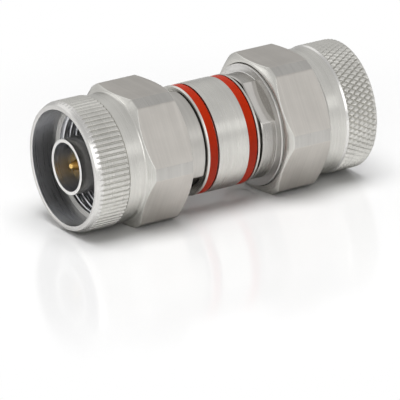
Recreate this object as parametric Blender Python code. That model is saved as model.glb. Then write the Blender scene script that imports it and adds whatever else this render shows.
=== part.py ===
"""Precision coaxial adapter: two free-turning coupling nuts on one turned body with two red bands.

The axis of the adapter is world X, its middle is the origin and +Z is up. Every end piece is drawn
once in an end frame whose +X points out of the connector's mouth, and an empty turns that frame to
the left or to the right end. Angles round the axis are counted from +Y towards +Z of that frame.
"""

import math

import bmesh
import bpy
from mathutils import Matrix, Vector

MM = 0.001

# Air between pieces that seat on each other, and the smaller one round the red bands
SEAT_GAP = 0.30 * MM
BAND_GAP = 0.08 * MM

# How finely round pieces are divided
SHELL_STEPS = 40
INNER_STEPS = 32
SMALL_STEPS = 24

# Air line: bore of the outer conductor and rod of the centre conductor
LINE_BORE_RADIUS = 3.50 * MM
ROD_RADIUS = 1.52 * MM

# Sleeve with two red bands, in the middle
SLEEVE_WALL = 1.26 * MM
SLEEVE_LEFT = 4.15 * MM
SLEEVE_RIGHT = 4.40 * MM
SLEEVE_EDGE_BREAK = 0.06 * MM
BAND_WIDTH = 1.54 * MM
LEFT_BAND_INSET = 0.15 * MM
RIGHT_BAND_INSET = 0.40 * MM
BAND_THICKNESS = 0.45 * MM
BAND_RECESS = 0.05 * MM

# Spigot of the left shell, and the neck round it that carries the sleeve
SPIGOT_WALL = 1.70 * MM
SPIGOT_RADIUS = LINE_BORE_RADIUS + SPIGOT_WALL
SPIGOT_REACH = 1.50 * MM
NECK_WALL = 0.90 * MM

# Body shells: socket for the contact's base, and the hub under the nut
CONTACT_BASE_WALL = 1.10 * MM
SOCKET_RADIUS = LINE_BORE_RADIUS + CONTACT_BASE_WALL + SEAT_GAP
SOCKET_DEPTH = 3.30 * MM
HUB_WALL = 1.55 * MM
HUB_RADIUS = SOCKET_RADIUS + HUB_WALL
HUB_LAND = 0.85 * MM
RING_GROOVE_DEPTH = 0.65 * MM

# Coupling nuts: bore, from the mouth to the rear
THREAD_CLEARS_HUB = 1.00 * MM
THREAD_RADIUS = HUB_RADIUS + THREAD_CLEARS_HUB
THREAD_LEAD_IN = 0.40 * MM
MOUTH_STEP = 0.85 * MM
MOUTH_RADIUS = THREAD_RADIUS + MOUTH_STEP
MOUTH_EDGE_BREAK = 0.10 * MM
MOUTH_DEPTH = 4.20 * MM
RELIEF_LENGTH = 1.25 * MM
RELIEF_DEPTH = 0.60 * MM
LIP_THICKNESS = 1.40 * MM
REAR_BORE_DEPTH = 2.27 * MM

# Coupling nuts: knurled barrel, its chamfered rim and the collar behind it
BARREL_WALL = 1.11 * MM
KNURL_RADIUS = MOUTH_RADIUS + BARREL_WALL
COLLAR_DROP = 0.22 * MM
COLLAR_RADIUS = KNURL_RADIUS - COLLAR_DROP
COLLAR_LENGTH = 2.75 * MM
RIM_LENGTH = 0.45 * MM
RIM_ANGLE = math.radians(38)
STRAIGHT_RIBS = 75
STRAIGHT_DEPTH = 0.20 * MM
STRAIGHT_CREST_SHARE = 0.60
CROSSED_RIBS = 66
CROSSED_DEPTH = 0.30 * MM
CROSSED_ANGLE = math.radians(30)
CROSSED_SHOULDER = 0.32 * MM

# Coupling nuts: hexagon milled from round bar, which leaves a strip on each corner
NUT_LENGTH = 15.67 * MM
HEX_FLAT_WALL = 0.575 * MM
HEX_STRIP_HEIGHT = 0.965 * MM
HEX_CHAMFER = math.radians(30)
HEX_LENGTH = 6.92 * MM
HEX_LAND_WALL = 0.25 * MM

# Snap rings that hold the nuts on the shells
RING_THICKNESS = 0.70 * MM
RING_STANDS_OUT = 0.75 * MM
RING_SPLIT = math.radians(35)

# Outer contacts, gaskets and beads
CONTACT_WALL = 0.51 * MM
CONTACT_EDGE_BREAK = 0.08 * MM
CONTACT_RECESS = 0.59 * MM
CONTACT_BASE_STANDS_OUT = 1.10 * MM
GASKET_WIDTH = 1.30 * MM
GASKET_THICKNESS = 1.20 * MM
GASKET_ROUNDING = 0.25 * MM
BEAD_THICKNESS = 1.60 * MM

# Centre contacts
PIN_RADIUS = 0.82 * MM
PIN_LENGTH = 5.00 * MM
PIN_RECESS = 0.26 * MM
PIN_TIP_ROUNDING = 0.35 * MM
STUD_RADIUS = 0.75 * MM
STUD_LENGTH = 3.80 * MM

# Where each end differs
LEFT = {
    "side": "left",
    "turn": math.pi,
    "knurl": "straight",
    "rim_gap": SEAT_GAP,
    "sleeve_face": SLEEVE_LEFT,
    "shell_wall": 1.06 * MM,
    "shell_length": 3.23 * MM,
    "rim_chamfer": 0.08 * MM,
    "flange_stands_out": 0.0,
    "flange_proud": 0.0,
    "flat_depth": 1.11 * MM,
    "flat_angles": [math.radians(122.5), math.radians(302.5)],
}
RIGHT = {
    "side": "right",
    "turn": 0.0,
    "knurl": "crossed",
    "rim_gap": 0.58 * MM,
    "sleeve_face": SLEEVE_RIGHT,
    "shell_wall": 1.24 * MM,
    "shell_length": 2.70 * MM,
    "rim_chamfer": 0.22 * MM,
    "flange_stands_out": 1.01 * MM,
    "flange_proud": 0.33 * MM,
    "flat_depth": 0.64 * MM,
    "flat_angles": [math.radians(7.5), math.radians(127.5), math.radians(247.5)],
}
FLANGE_EDGE_BREAK = 0.06 * MM
FLATS_PASS_NUT = 0.50 * MM


def clear_scene():
    for obj in list(bpy.data.objects):
        bpy.data.objects.remove(obj, do_unlink=True)


def material(name, colour, metallic, roughness):
    """A material of this name, made the first time that it is asked for."""
    if name in bpy.data.materials:
        return bpy.data.materials[name]
    mat = bpy.data.materials.new(name)
    mat.use_nodes = True
    shader = mat.node_tree.nodes["Principled BSDF"]
    shader.inputs["Base Color"].default_value = (*colour, 1.0)
    shader.inputs["Metallic"].default_value = metallic
    shader.inputs["Roughness"].default_value = roughness
    return mat


def satin_steel():
    return material("satin_steel", (0.46, 0.45, 0.43), 1.0, 0.32)


def turned_steel():
    return material("turned_steel", (0.52, 0.51, 0.49), 1.0, 0.24)


def gold_plate():
    return material("gold_plate", (0.83, 0.58, 0.22), 1.0, 0.20)


def red_enamel():
    return material("red_enamel", (0.42, 0.03, 0.015), 0.0, 0.35)


def black_rubber():
    return material("black_rubber", (0.02, 0.02, 0.02), 0.0, 0.70)


def white_dielectric():
    return material("white_dielectric", (0.85, 0.84, 0.80), 0.0, 0.45)


def add_object(name, bm, mat, parent=None):
    """Turn a bmesh into a shaded object that hangs on the given empty."""
    bmesh.ops.recalc_face_normals(bm, faces=bm.faces)
    mesh = bpy.data.meshes.new(name)
    bm.to_mesh(mesh)
    bm.free()
    mesh.shade_smooth()
    mesh.set_sharp_from_angle(angle=math.radians(25))
    if mat is not None:
        mesh.materials.append(mat)
    obj = bpy.data.objects.new(name, mesh)
    bpy.context.scene.collection.objects.link(obj)
    obj.parent = parent
    return obj


def cut(obj, cutter):
    """Subtract the cutter, which stays in the file as a hidden guide."""
    cutter.hide_render = True
    cutter.display_type = "WIRE"
    modifier = obj.modifiers.new(cutter.name, "BOOLEAN")
    modifier.operation = "DIFFERENCE"
    modifier.solver = "EXACT"
    modifier.object = cutter


def turned(outline, steps):
    """Spin a closed outline of (x, radius) points round the X axis into one solid."""
    bm = bmesh.new()
    verts = [bm.verts.new((x, radius, 0.0)) for x, radius in outline]
    edges = []
    for first, second in zip(verts, verts[1:] + verts[:1]):
        on_axis = first.co.y == 0 and second.co.y == 0
        if not on_axis:
            edges.append(bm.edges.new((first, second)))
    bmesh.ops.spin(bm, geom=verts + edges, cent=(0, 0, 0), axis=(1, 0, 0), angle=2 * math.pi,
                   steps=steps, use_merge=True)
    bmesh.ops.remove_doubles(bm, verts=bm.verts, dist=0.0001 * MM)
    return bm


def tube(x_low, x_high, inner, outer):
    """Outline of a plain ring."""
    return [(x_low, inner), (x_low, outer), (x_high, outer), (x_high, inner)]


def plain_loop(columns, x, radius):
    """Evenly spaced (angle, x, radius) points of a turned edge."""
    return [(2 * math.pi * column / columns, x, radius) for column in range(columns)]


def add_loop(bm, points):
    """Vertices for one closed loop of (angle, x, radius) points."""
    return [bm.verts.new((x, radius * math.cos(angle), radius * math.sin(angle)))
            for angle, x, radius in points]


def stitch(bm, first, second):
    """Close the wall between two loops, where the longer one is a multiple of the shorter one."""
    few, many = sorted((first, second), key=len)
    ratio = len(many) // len(few)
    middle = ratio // 2
    for index, corner in enumerate(few):
        following = few[(index + 1) % len(few)]
        fan = [many[(index * ratio + step) % len(many)] for step in range(ratio + 1)]
        if ratio == 1:
            bm.faces.new((corner, following, fan[1], fan[0]))
            continue
        for step in range(ratio):
            hub = corner if step < middle else following
            bm.faces.new((hub, fan[step + 1], fan[step]))
        bm.faces.new((corner, following, fan[middle]))


def stitch_crossed(bm, first, second):
    """Close the wall between two loops of crossed ribs, folded along its valleys."""
    for index in range(len(first)):
        following = (index + 1) % len(first)
        quad = (first[index], first[following], second[following], second[index])
        radii = [math.hypot(vert.co.y, vert.co.z) for vert in quad]
        fold = 0 if radii[0] + radii[2] < radii[1] + radii[3] else 1
        bm.faces.new((quad[fold], quad[fold + 1], quad[fold + 2]))
        bm.faces.new((quad[fold], quad[fold + 2], quad[(fold + 3) % 4]))


def rim_run(drop):
    """How far along the axis the rim's chamfer takes to drop this much."""
    return drop / math.tan(RIM_ANGLE)


def straight_knurl(start, stop):
    """Loops of ribs along the axis, from the collar to where the rim's chamfer cuts them off."""
    half_valley = (1 - STRAIGHT_CREST_SHARE) / 2
    across = ((0.0, STRAIGHT_DEPTH), (half_valley, 0.0), (1 - half_valley, 0.0))
    loops = []
    for place in (start, stop):
        loop = []
        for rib in range(STRAIGHT_RIBS):
            for share, drop in across:
                angle = 2 * math.pi * (rib + share) / STRAIGHT_RIBS
                run_out = rim_run(drop) if place == stop else 0.0
                loop.append((angle, place + run_out, KNURL_RADIUS - drop))
        loops.append(loop)
    return loops


def crossed_knurl(start, stop):
    """Loops of crossed ribs: crests and valleys take turns along each loop and from loop to loop."""
    columns = 2 * CROSSED_RIBS
    half_pitch = math.pi * KNURL_RADIUS / CROSSED_RIBS
    rows = max(2, round((stop - start) * math.tan(CROSSED_ANGLE) / half_pitch))
    loops = []
    for row in range(rows + 1):
        loop = []
        for column in range(columns):
            is_crest = 0 < row < rows and (row + column) % 2 == 1
            radius = KNURL_RADIUS if is_crest else KNURL_RADIUS - CROSSED_DEPTH
            angle = 2 * math.pi * column / columns
            loop.append((angle, start + (stop - start) * row / rows, radius))
        loops.append(loop)
    return loops


def stations(end):
    """Distances along the end frame that the nut shares with the shell it turns on."""
    rim = end["sleeve_face"] + end["rim_gap"]
    rear = rim + end["shell_length"]
    lip_rear = rear + REAR_BORE_DEPTH
    lip_front = lip_rear + LIP_THICKNESS
    ring_rear = lip_front + SEAT_GAP
    ring_front = ring_rear + RING_THICKNESS
    hub_front = ring_front + SEAT_GAP + HUB_LAND
    return {
        "rim": rim,
        "rear": rear,
        "front": rear + NUT_LENGTH,
        "lip_rear": lip_rear,
        "lip_front": lip_front,
        "ring_rear": ring_rear,
        "ring_front": ring_front,
        "hub_front": hub_front,
        "socket_floor": hub_front - SOCKET_DEPTH,
        "contact_front": rear + NUT_LENGTH - CONTACT_RECESS,
    }


def neck_radius():
    return SPIGOT_RADIUS + SEAT_GAP + NECK_WALL


def shell_radius(end):
    return neck_radius() + end["shell_wall"]


def journal_radius(end):
    """Radius of the shell where it turns in the rear bore of the nut."""
    return shell_radius(end) + end["flange_stands_out"]


def largest_rear_bore():
    """Rear bore of the right nut, which sets the size of both hexagons."""
    return journal_radius(RIGHT) + SEAT_GAP


def rear_land_radius():
    """Outer edge of the flat rear face of both nuts."""
    return largest_rear_bore() + HEX_LAND_WALL


def hex_flat_radius():
    """Distance of the spanner flats from the axis, half of 19.05 mm (3/4 inch)."""
    return largest_rear_bore() + HEX_FLAT_WALL


def hex_bar_radius():
    """Radius of the round bar that the hexagon is milled from."""
    return hex_flat_radius() + HEX_STRIP_HEIGHT


def sleeve_radius():
    return neck_radius() + SEAT_GAP + SLEEVE_WALL


def chamfer_run(drop):
    """How far along the axis a hexagon's chamfer takes to drop this much."""
    return drop * math.tan(HEX_CHAMFER)


def barrel_loops(end, start, stop):
    """Loops of the knurled barrel, with the plain edges that close it at the collar and the rim."""
    if end["knurl"] == "straight":
        foot = KNURL_RADIUS - STRAIGHT_DEPTH
        return [plain_loop(STRAIGHT_RIBS, start, foot), *straight_knurl(start, stop)]
    foot = KNURL_RADIUS - CROSSED_DEPTH
    rim_foot = plain_loop(CROSSED_RIBS, stop + rim_run(CROSSED_DEPTH), foot)
    knurl_start = start + CROSSED_SHOULDER
    crest_edge = plain_loop(CROSSED_RIBS, knurl_start, KNURL_RADIUS)
    return [crest_edge, *crossed_knurl(knurl_start, stop), rim_foot]


def coupling_nut(end, parent):
    """Turned bar with a hexagon, a collar, a knurled barrel and a stepped bore with a rear lip."""
    at = stations(end)
    columns = STRAIGHT_RIBS if end["knurl"] == "straight" else CROSSED_RIBS
    rear = at["rear"]
    front = at["front"]
    hex_end = rear + HEX_LENGTH
    bar_radius = hex_bar_radius()
    collar_start = hex_end + chamfer_run(bar_radius - COLLAR_RADIUS)
    collar_end = collar_start + COLLAR_LENGTH
    rim_radius = KNURL_RADIUS - RIM_LENGTH * math.tan(RIM_ANGLE)
    thread_start = at["lip_front"] + RELIEF_LENGTH
    thread_end = front - MOUTH_DEPTH
    lip_radius = HUB_RADIUS + SEAT_GAP
    rear_bore = journal_radius(end) + SEAT_GAP
    rear_land = rear_land_radius()

    before_barrel = [
        (rear, rear_land),
        (rear + chamfer_run(bar_radius - rear_land), bar_radius),
        (hex_end, bar_radius),
        (collar_start, COLLAR_RADIUS),
        (collar_end, COLLAR_RADIUS),
    ]
    after_barrel = [
        (front, rim_radius),
        (front, MOUTH_RADIUS + MOUTH_EDGE_BREAK),
        (front - MOUTH_EDGE_BREAK, MOUTH_RADIUS),
        (thread_end, MOUTH_RADIUS),
        (thread_end, THREAD_RADIUS + THREAD_LEAD_IN),
        (thread_end - THREAD_LEAD_IN, THREAD_RADIUS),
        (thread_start, THREAD_RADIUS),
        (thread_start, THREAD_RADIUS + RELIEF_DEPTH),
        (at["lip_front"], THREAD_RADIUS + RELIEF_DEPTH),
        (at["lip_front"], lip_radius),
        (at["lip_rear"], lip_radius),
        (at["lip_rear"], rear_bore),
        (rear, rear_bore),
    ]
    loops = [plain_loop(columns, x, radius) for x, radius in before_barrel]
    loops += barrel_loops(end, collar_end, front - RIM_LENGTH)
    loops += [plain_loop(columns, x, radius) for x, radius in after_barrel]
    bm = bmesh.new()
    rings = [add_loop(bm, points) for points in loops]
    for first, second in zip(rings, rings[1:] + rings[:1]):
        if len(first) == len(second) == 2 * CROSSED_RIBS:
            stitch_crossed(bm, first, second)
        else:
            stitch(bm, first, second)
    nut = add_object(f"{end['side']}_coupling_nut", bm, satin_steel(), parent)
    cut(nut, hexagon_cutter(end, at, collar_start, parent))


def hexagon_cutter(end, at, collar_start, parent):
    """A tube with a hexagonal hole that leaves the spanner flats and the round strips between."""
    clear = 1 * MM
    flat_radius = hex_flat_radius()
    corner = flat_radius / math.cos(math.pi / 6)
    reach = (hex_bar_radius() + clear) / math.cos(math.pi / 6)
    flats_end = collar_start - chamfer_run(flat_radius - COLLAR_RADIUS) / 2
    bm = turned(tube(at["rear"] - clear, flats_end, corner, reach), 6)
    return add_object(f"cutter_{end['side']}_hexagon", bm, None, parent)


def wrench_flats(shell, end, at, parent):
    """Mill the flats that a spanner holds while the nut is turned."""
    reach = 2 * MM
    width = 2.4 * shell_radius(end)
    distance = shell_radius(end) - end["flat_depth"]
    low = at["rim"] - reach
    high = at["rear"] + FLATS_PASS_NUT
    if end["flange_stands_out"]:
        high = at["rear"] - end["flange_proud"]
    for number, angle in enumerate(end["flat_angles"], start=1):
        bm = bmesh.new()
        bmesh.ops.create_cube(bm, size=1.0)
        bmesh.ops.scale(bm, vec=Vector((high - low, reach, width)), verts=bm.verts)
        centre = Vector(((low + high) / 2, distance + reach / 2, 0))
        bmesh.ops.translate(bm, vec=centre, verts=bm.verts)
        bmesh.ops.rotate(bm, matrix=Matrix.Rotation(angle, 3, "X"), verts=bm.verts)
        cut(shell, add_object(f"cutter_{end['side']}_flat_{number}", bm, None, parent))


def rim_outline(end, at, joint_radius):
    """Outline from the joint face of a shell, over its chamfered rim, to the journal."""
    rim = at["rim"]
    shell = shell_radius(end)
    chamfer = end["rim_chamfer"]
    points = [(rim, joint_radius), (rim, shell - chamfer), (rim + chamfer, shell)]
    if end["flange_stands_out"]:
        face = at["rear"] - end["flange_proud"]
        edge = FLANGE_EDGE_BREAK
        journal = journal_radius(end)
        points += [(face, shell), (face, journal - edge), (face + edge, journal)]
    return points


def hub_outline(end, at):
    """Outline from the journal over the hub and its ring groove to the socket and the line bore."""
    journal_end = at["lip_rear"] - SEAT_GAP
    groove_rear = at["ring_rear"] - SEAT_GAP
    groove_front = at["ring_front"] + SEAT_GAP
    groove_radius = HUB_RADIUS - RING_GROOVE_DEPTH
    return [
        (journal_end, journal_radius(end)),
        (journal_end, HUB_RADIUS),
        (groove_rear, HUB_RADIUS),
        (groove_rear, groove_radius),
        (groove_front, groove_radius),
        (groove_front, HUB_RADIUS),
        (at["hub_front"], HUB_RADIUS),
        (at["hub_front"], SOCKET_RADIUS),
        (at["socket_floor"], SOCKET_RADIUS),
        (at["socket_floor"], LINE_BORE_RADIUS),
    ]


def left_body_shell(end, parent):
    """Shell with a spigot that enters the right shell under the banded sleeve."""
    at = stations(end)
    spigot = [(-SPIGOT_REACH, LINE_BORE_RADIUS), (-SPIGOT_REACH, SPIGOT_RADIUS)]
    outline = spigot + rim_outline(end, at, SPIGOT_RADIUS) + hub_outline(end, at)
    shell = add_object("left_body_shell", turned(outline, SHELL_STEPS), turned_steel(), parent)
    wrench_flats(shell, end, at, parent)


def right_body_shell(end, parent):
    """Shell whose neck carries the banded sleeve and takes the spigot of the left shell."""
    at = stations(end)
    socket = SPIGOT_RADIUS + SEAT_GAP
    socket_floor = SPIGOT_REACH + SEAT_GAP
    neck = [
        (socket_floor, LINE_BORE_RADIUS),
        (socket_floor, socket),
        (-SLEEVE_LEFT, socket),
        (-SLEEVE_LEFT, neck_radius()),
    ]
    outline = neck + rim_outline(end, at, neck_radius()) + hub_outline(end, at)
    shell = add_object("right_body_shell", turned(outline, SHELL_STEPS), turned_steel(), parent)
    wrench_flats(shell, end, at, parent)


def groove_walls(side):
    """Lower and upper wall of the groove for the left (-1) or the right (1) red band."""
    outer_edge = SLEEVE_LEFT - LEFT_BAND_INSET if side < 0 else SLEEVE_RIGHT - RIGHT_BAND_INSET
    return sorted((side * outer_edge, side * (outer_edge - BAND_WIDTH)))


def banded_sleeve():
    """Plain sleeve with a groove near each end for a red band."""
    inner = neck_radius() + SEAT_GAP
    outer = sleeve_radius()
    floor = outer - BAND_RECESS - BAND_THICKNESS - BAND_GAP
    edge = SLEEVE_EDGE_BREAK
    outline = [(-SLEEVE_LEFT, inner), (-SLEEVE_LEFT, outer - edge), (-SLEEVE_LEFT + edge, outer)]
    for side in (-1, 1):
        walls = groove_walls(side)
        outline += [(walls[0], outer), (walls[0], floor), (walls[1], floor), (walls[1], outer)]
    outline += [(SLEEVE_RIGHT - edge, outer), (SLEEVE_RIGHT, outer - edge), (SLEEVE_RIGHT, inner)]
    add_object("banded_sleeve", turned(outline, SHELL_STEPS), satin_steel())


def red_band(side, name):
    """Red ring laid in a groove of the sleeve."""
    outer = sleeve_radius() - BAND_RECESS
    walls = groove_walls(side)
    outline = tube(walls[0] + BAND_GAP, walls[1] - BAND_GAP, outer - BAND_THICKNESS, outer)
    add_object(name, turned(outline, SHELL_STEPS), red_enamel())


def snap_ring(end, parent):
    """Split ring in the shell's groove, which stops the nut's lip from sliding off."""
    at = stations(end)
    inner = HUB_RADIUS - RING_GROOVE_DEPTH + SEAT_GAP
    outer = HUB_RADIUS + RING_STANDS_OUT
    outline = tube(at["ring_rear"], at["ring_front"], inner, outer)
    sections = []
    bm = bmesh.new()
    for step in range(SMALL_STEPS + 1):
        angle = RING_SPLIT / 2 + (2 * math.pi - RING_SPLIT) * step / SMALL_STEPS
        sections.append(add_loop(bm, [(angle, x, radius) for x, radius in outline]))
    for first, second in zip(sections, sections[1:]):
        stitch(bm, first, second)
    bm.faces.new(sections[0])
    bm.faces.new(sections[-1])
    add_object(f"{end['side']}_snap_ring", bm, turned_steel(), parent)


def outer_contact(end, parent):
    """Thin unslotted sleeve whose thicker base is screwed into the shell and clamps the bead."""
    at = stations(end)
    inner = LINE_BORE_RADIUS
    outer = inner + CONTACT_WALL
    base = inner + CONTACT_BASE_WALL
    base_rear = at["socket_floor"] + SEAT_GAP + BEAD_THICKNESS + SEAT_GAP
    base_front = at["hub_front"] + CONTACT_BASE_STANDS_OUT
    front = at["contact_front"]
    edge = CONTACT_EDGE_BREAK
    outline = [
        (base_rear, inner),
        (base_rear, base),
        (base_front, base),
        (base_front, outer),
        (front - edge, outer),
        (front, outer - edge),
        (front, inner + edge),
        (front - edge, inner),
    ]
    add_object(f"{end['side']}_outer_contact", turned(outline, INNER_STEPS), turned_steel(), parent)


def gasket(end, parent):
    """Soft ring on the hub face, round the base of the outer contact."""
    rear = stations(end)["hub_front"] + SEAT_GAP
    front = rear + GASKET_THICKNESS
    inner = SOCKET_RADIUS
    outer = inner + GASKET_WIDTH
    soft = GASKET_ROUNDING
    outline = [
        (rear + soft, inner),
        (rear, inner + soft),
        (rear, outer - soft),
        (rear + soft, outer),
        (front - soft, outer),
        (front, outer - soft),
        (front, inner + soft),
        (front - soft, inner),
    ]
    add_object(f"{end['side']}_gasket", turned(outline, SMALL_STEPS), black_rubber(), parent)


def support_bead(end, parent):
    """Dielectric disc that holds the centre contact in the middle of the bore."""
    rear = stations(end)["socket_floor"] + SEAT_GAP
    front = rear + BEAD_THICKNESS
    outline = tube(rear, front, STUD_RADIUS + SEAT_GAP, SOCKET_RADIUS - SEAT_GAP)
    add_object(f"{end['side']}_support_bead", turned(outline, SMALL_STEPS), white_dielectric(), parent)


def centre_contact(end, parent):
    """Gold pin with a shoulder as wide as the rod and a stud through the bead into the rod."""
    at = stations(end)
    shoulder_rear = at["socket_floor"] + 2 * SEAT_GAP + BEAD_THICKNESS
    tip = at["contact_front"] - PIN_RECESS
    shoulder_front = tip - PIN_LENGTH
    stud_rear = shoulder_rear - STUD_LENGTH
    soft = PIN_TIP_ROUNDING
    outline = [
        (stud_rear, 0.0),
        (stud_rear, STUD_RADIUS),
        (shoulder_rear, STUD_RADIUS),
        (shoulder_rear, ROD_RADIUS),
        (shoulder_front, ROD_RADIUS),
        (shoulder_front, PIN_RADIUS),
    ]
    for step in range(4):
        turn = math.radians(90) * step / 3
        x = tip - soft * (1 - math.sin(turn))
        outline.append((x, PIN_RADIUS - soft * (1 - math.cos(turn))))
    outline.append((tip, 0.0))
    add_object(f"{end['side']}_centre_contact", turned(outline, SMALL_STEPS), gold_plate(), parent)


def centre_conductor():
    """Rod between the two beads, with a blind hole in each end for a contact's stud."""
    hole = STUD_RADIUS + SEAT_GAP
    depth = STUD_LENGTH - BEAD_THICKNESS - SEAT_GAP
    low = -stations(LEFT)["socket_floor"]
    high = stations(RIGHT)["socket_floor"]
    outline = [
        (low + depth, 0.0),
        (low + depth, hole),
        (low, hole),
        (low, ROD_RADIUS),
        (high, ROD_RADIUS),
        (high, hole),
        (high - depth, hole),
        (high - depth, 0.0),
    ]
    add_object("centre_conductor", turned(outline, SMALL_STEPS), gold_plate())


def end_frame(end):
    """Empty on the axis that turns the end's pieces to the left or to the right."""
    frame = bpy.data.objects.new(f"{end['side']}_end", None)
    frame.rotation_euler = (0, 0, end["turn"])
    bpy.context.scene.collection.objects.link(frame)
    return frame


def build():
    clear_scene()
    for end, body_shell in ((LEFT, left_body_shell), (RIGHT, right_body_shell)):
        parent = end_frame(end)
        body_shell(end, parent)
        coupling_nut(end, parent)
        snap_ring(end, parent)
        outer_contact(end, parent)
        gasket(end, parent)
        support_bead(end, parent)
        centre_contact(end, parent)
    centre_conductor()
    banded_sleeve()
    red_band(-1, "left_red_band")
    red_band(1, "right_red_band")


build()
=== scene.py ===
import math

import bmesh
import bpy
from mathutils import Matrix, Vector


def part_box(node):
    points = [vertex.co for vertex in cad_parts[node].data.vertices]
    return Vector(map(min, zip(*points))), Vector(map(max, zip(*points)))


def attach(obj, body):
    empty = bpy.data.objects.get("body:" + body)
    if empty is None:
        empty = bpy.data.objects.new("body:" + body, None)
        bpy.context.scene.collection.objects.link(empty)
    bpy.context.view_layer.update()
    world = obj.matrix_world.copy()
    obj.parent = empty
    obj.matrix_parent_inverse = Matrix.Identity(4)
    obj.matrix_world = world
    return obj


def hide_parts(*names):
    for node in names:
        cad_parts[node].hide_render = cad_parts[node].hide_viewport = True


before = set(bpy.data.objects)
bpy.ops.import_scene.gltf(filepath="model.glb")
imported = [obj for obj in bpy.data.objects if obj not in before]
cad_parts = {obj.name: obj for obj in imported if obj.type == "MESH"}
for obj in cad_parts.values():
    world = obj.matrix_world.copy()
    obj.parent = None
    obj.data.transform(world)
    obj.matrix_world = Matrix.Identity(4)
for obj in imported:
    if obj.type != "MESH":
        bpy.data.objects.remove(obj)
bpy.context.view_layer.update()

MM = 0.001
SIDES = ("left", "right")

# The photograph's view: where the camera stands, in millimetres, and how long its lens is
CAMERA_FOCAL_PIXELS = 5715.18
CAMERA_DISTANCE = 808.21
CAMERA_AZIMUTH = math.radians(-32.091)
CAMERA_ELEVATION = math.radians(20.049)
CAMERA_ROLL = math.radians(-1.4695)
CAMERA_SIDE = -0.545
CAMERA_RISE = -9.203
FRAME_PIXELS = 400
SENSOR_WIDTH = 36.0

# Studio: lamps and table top in metres, and the light that comes from all round
LAMP_DISTANCE = 0.6
FLOOR_SIZE = 1.5
FLOOR_COLOUR = (0.88, 0.88, 0.88)
FLOOR_ROUGHNESS = 0.12
FLOOR_FADE = (0.040, 0.074)
CEILING_STARTS = 0.60
CEILING_LEVEL = 0.85
AMBIENT_LEVEL = 0.17

# Counts of columns round the axis, of rows and steps to a thread's pitch or a knurl's, and of a rounding
TURNED_COLUMNS = 192
THREAD_COLUMNS = 144
THREAD_ROWS = 20
PIN_COLUMNS = 96
CELL_STEPS = 10
CORNER_STEPS = 4
FILLET_STEPS = 5
RIM_STEPS = 12
PIN_DOME_STEPS = 10

# Shares: columns on half a flat, room beside a flat's own columns, and a side's most for a rounding
HEX_COLUMNS = (0.0, 0.15, 0.3, 0.45, 0.6, 0.72, 0.82, 0.9, 0.96)
COLUMN_CLEARANCE = 0.3
CORNER_SHARE = 0.45

# Broken edges, in millimetres, and the angle from which an edge is shown sharp
EDGE = 0.05
FINE_EDGE = 0.03
HEX_EDGE = 0.13
FLANGE_EDGE = 0.08
BAND_EDGE = 0.06
CONTACT_EDGE = 0.08
ROD_EDGE = 0.1
GASKET_EDGE = 0.3
SHARP_ANGLE = math.radians(35)

# Hexagons and collars of the coupling nuts, in millimetres: radii, lengths, a fillet and a groove
HEX_FLAT = 9.525
HEX_BAR = 10.49
HEX_LAND = 9.20
HEX_LENGTH = 6.92
HEX_CHAMFER = math.radians(30)
COLLAR = 9.19
COLLAR_LENGTH = {"left": 2.75, "right": 2.80}
COLLAR_FILLET = 0.26
UNDERCUT = 0.14
UNDERCUT_FLOOR_SHARE = 0.8

# Knurled barrels of the coupling nuts, and the power that rounds the tops of the crossed knurl
CREST = 9.41
CREST_START_DROP = 0.03
STRAIGHT_RIBS = 75
STRAIGHT_DEPTH = 0.22
STRAIGHT_RUN_IN = 0.07
CROSSED_RIBS = 66
CROSSED_DEPTH = 0.26
CROSSED_ANGLE = math.radians(30)
CROSSED_FLANK = 0.37
CROSSED_CURVE = 1.6
CROSSED_SHOULDER = 0.33
RIM_RUN = {"left": 0.95, "right": 0.32}
RIM_CONE = {"left": 0.36, "right": 0.12}
RIM_ROUND = {"left": 0.14, "right": 0.12}

# Mouths, threads and rear bores of the coupling nuts; half a thread's root is a share of its pitch
MOUTH = 8.30
MOUTH_EDGE = 0.10
MOUTH_EDGE_MIDDLE = 0.3 * MOUTH_EDGE
MOUTH_DEPTH = 3.88
SHOULDER_CONE = 0.20
THREAD_MAJOR = 7.94
THREAD_MINOR = 7.45
THREAD_PITCH = 25.4 / 24
THREAD_FLANK = math.radians(30)
THREAD_HALF_ROOT = 1 / 16
THREAD_LEAD_IN = 0.13
THREAD_STEP = 0.38
RELIEF = 8.05
RELIEF_LENGTH = 1.25
LIP = 6.75
LIP_THICKNESS = 1.40
REAR_BORE_DEPTH = 2.27
SEAT_GAP = 0.30

# Body shells: the part that both share, and where they differ
LINE_BORE = 3.50
HUB = 6.45
HUB_LAND = 0.85
RING_GROOVE = 5.80
RING_THICKNESS = 0.70
SOCKET = 4.90
SOCKET_DEPTH = 3.30
SPIGOT = 5.20
SPIGOT_REACH = 1.50
NECK_BORE = 5.50
NECK = 6.40
LEFT_SHELL = 7.46
LEFT_RIM_CHAMFER = 0.08
LEFT_FLAT_DISTANCE = 6.35
LEFT_FLAT_ANGLES = (122.5, 302.5)
LEFT_FLATS_PASS_NUT = 0.50
RIGHT_SHELL = 7.64
RIGHT_RIM_FACE = 5.03
RIGHT_RIM_CHAMFER = 0.12
RIGHT_RIM_SLOPE = 0.22
RIGHT_FLAT_DISTANCE = 6.87
RIGHT_FLAT_ANGLES = (134.0, 314.0)
FLAT_END = 0.004
FLANGE = 8.65
FLANGE_PROUD = 0.33
FLANGE_RIM = 8.86
FLANGE_FILLET = 0.30

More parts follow.
